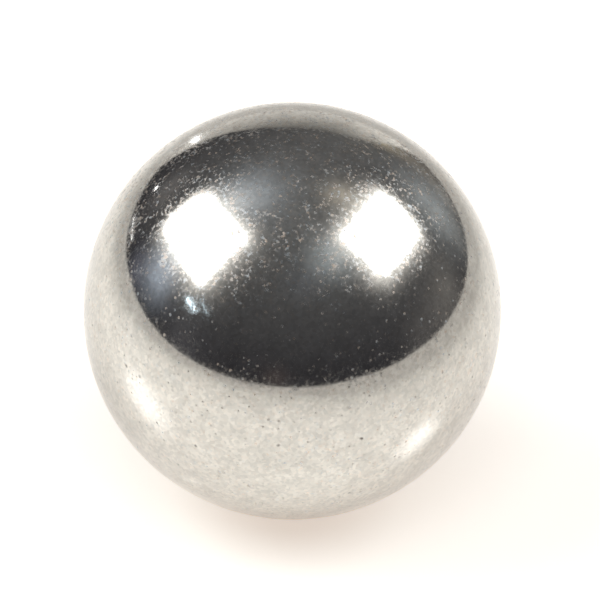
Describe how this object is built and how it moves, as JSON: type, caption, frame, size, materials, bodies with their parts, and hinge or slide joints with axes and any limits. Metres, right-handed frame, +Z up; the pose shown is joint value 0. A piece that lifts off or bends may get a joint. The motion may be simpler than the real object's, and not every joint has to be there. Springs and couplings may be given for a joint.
{
  "type": "steel ball",
  "caption": "Loose solid steel ball with a polished, finely speckled surface, for rolling contact, sorting, tumbling or bench use.",
  "frame": {"origin": "centre of the ball", "axes": "+Z up as pictured; the ball is a full sphere, so every axis through the centre is the same"},
  "size_m": [0.01, 0.01, 0.01],
  "materials": {
    "polished_steel": "polished, with fine specks of haze and tiny pits"
  },
  "bodies": {
    "root": {"ball": "polished_steel"}
  },
  "joints": []
}
